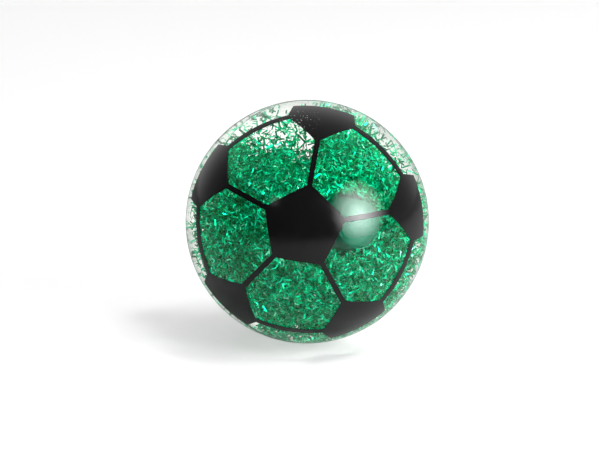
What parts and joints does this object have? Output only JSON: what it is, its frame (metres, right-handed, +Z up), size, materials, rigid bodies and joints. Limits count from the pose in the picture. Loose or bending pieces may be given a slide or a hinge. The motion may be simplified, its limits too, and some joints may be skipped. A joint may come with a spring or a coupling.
{
  "type": "rubber ball",
  "caption": "Clear rubber bouncing ball with a printed football pattern, glitter liquid inside and a sealed motion flasher capsule.",
  "frame": {"origin": "centre of the ball", "axes": "+Z up as the ball rests in the picture, -Y towards the viewer, +X to the viewer's right"},
  "size_m": [0.0645, 0.065, 0.0648],
  "materials": {
    "clear_rubber": "gloss",
    "black_ink": "gloss",
    "glitter_liquid": "gloss",
    "clear_plastic": "gloss",
    "milky_plastic": "satin",
    "foam": "matte",
    "cell_steel": "satin",
    "sleeve_film": "satin",
    "contact_brass": "satin",
    "board": "satin",
    "chip_resin": "satin",
    "lamp_red": "gloss",
    "lamp_green": "gloss",
    "lamp_blue": "gloss",
    "spring_wire": "satin"
  },
  "bodies": {
    "ball": {"shell_front": "clear_rubber", "shell_rear": "clear_rubber", "sealing_plug": "clear_rubber", "print_front": "black_ink", "print_rear": "black_ink", "liquid_fill": "glitter_liquid", "capsule_cup": "clear_plastic", "capsule_cap": "milky_plastic", "foam_pad": "foam", "button_cell_1": "cell_steel", "button_cell_2": "cell_steel", "button_cell_3": "cell_steel", "cell_sleeve": "sleeve_film", "positive_contact": "contact_brass", "negative_contact": "contact_brass", "circuit_board": "board", "chip_blob": "chip_resin", "led_1": "lamp_red", "led_2": "lamp_green", "led_3": "lamp_blue", "trembler_pin": "spring_wire"},
    "trembler": {"trembler_spring": "spring_wire"}
  },
  "joints": [
    {"name": "trembler_sway", "type": "hinge", "parent": "ball", "child": "trembler", "pos_m": [0.00528, -0.00985, 0.00004], "axis": [0.8813, 0.4726, 0], "range_deg": [-5, 5], "stiffness_Nm_per_rad": 0.0002}
  ]
}
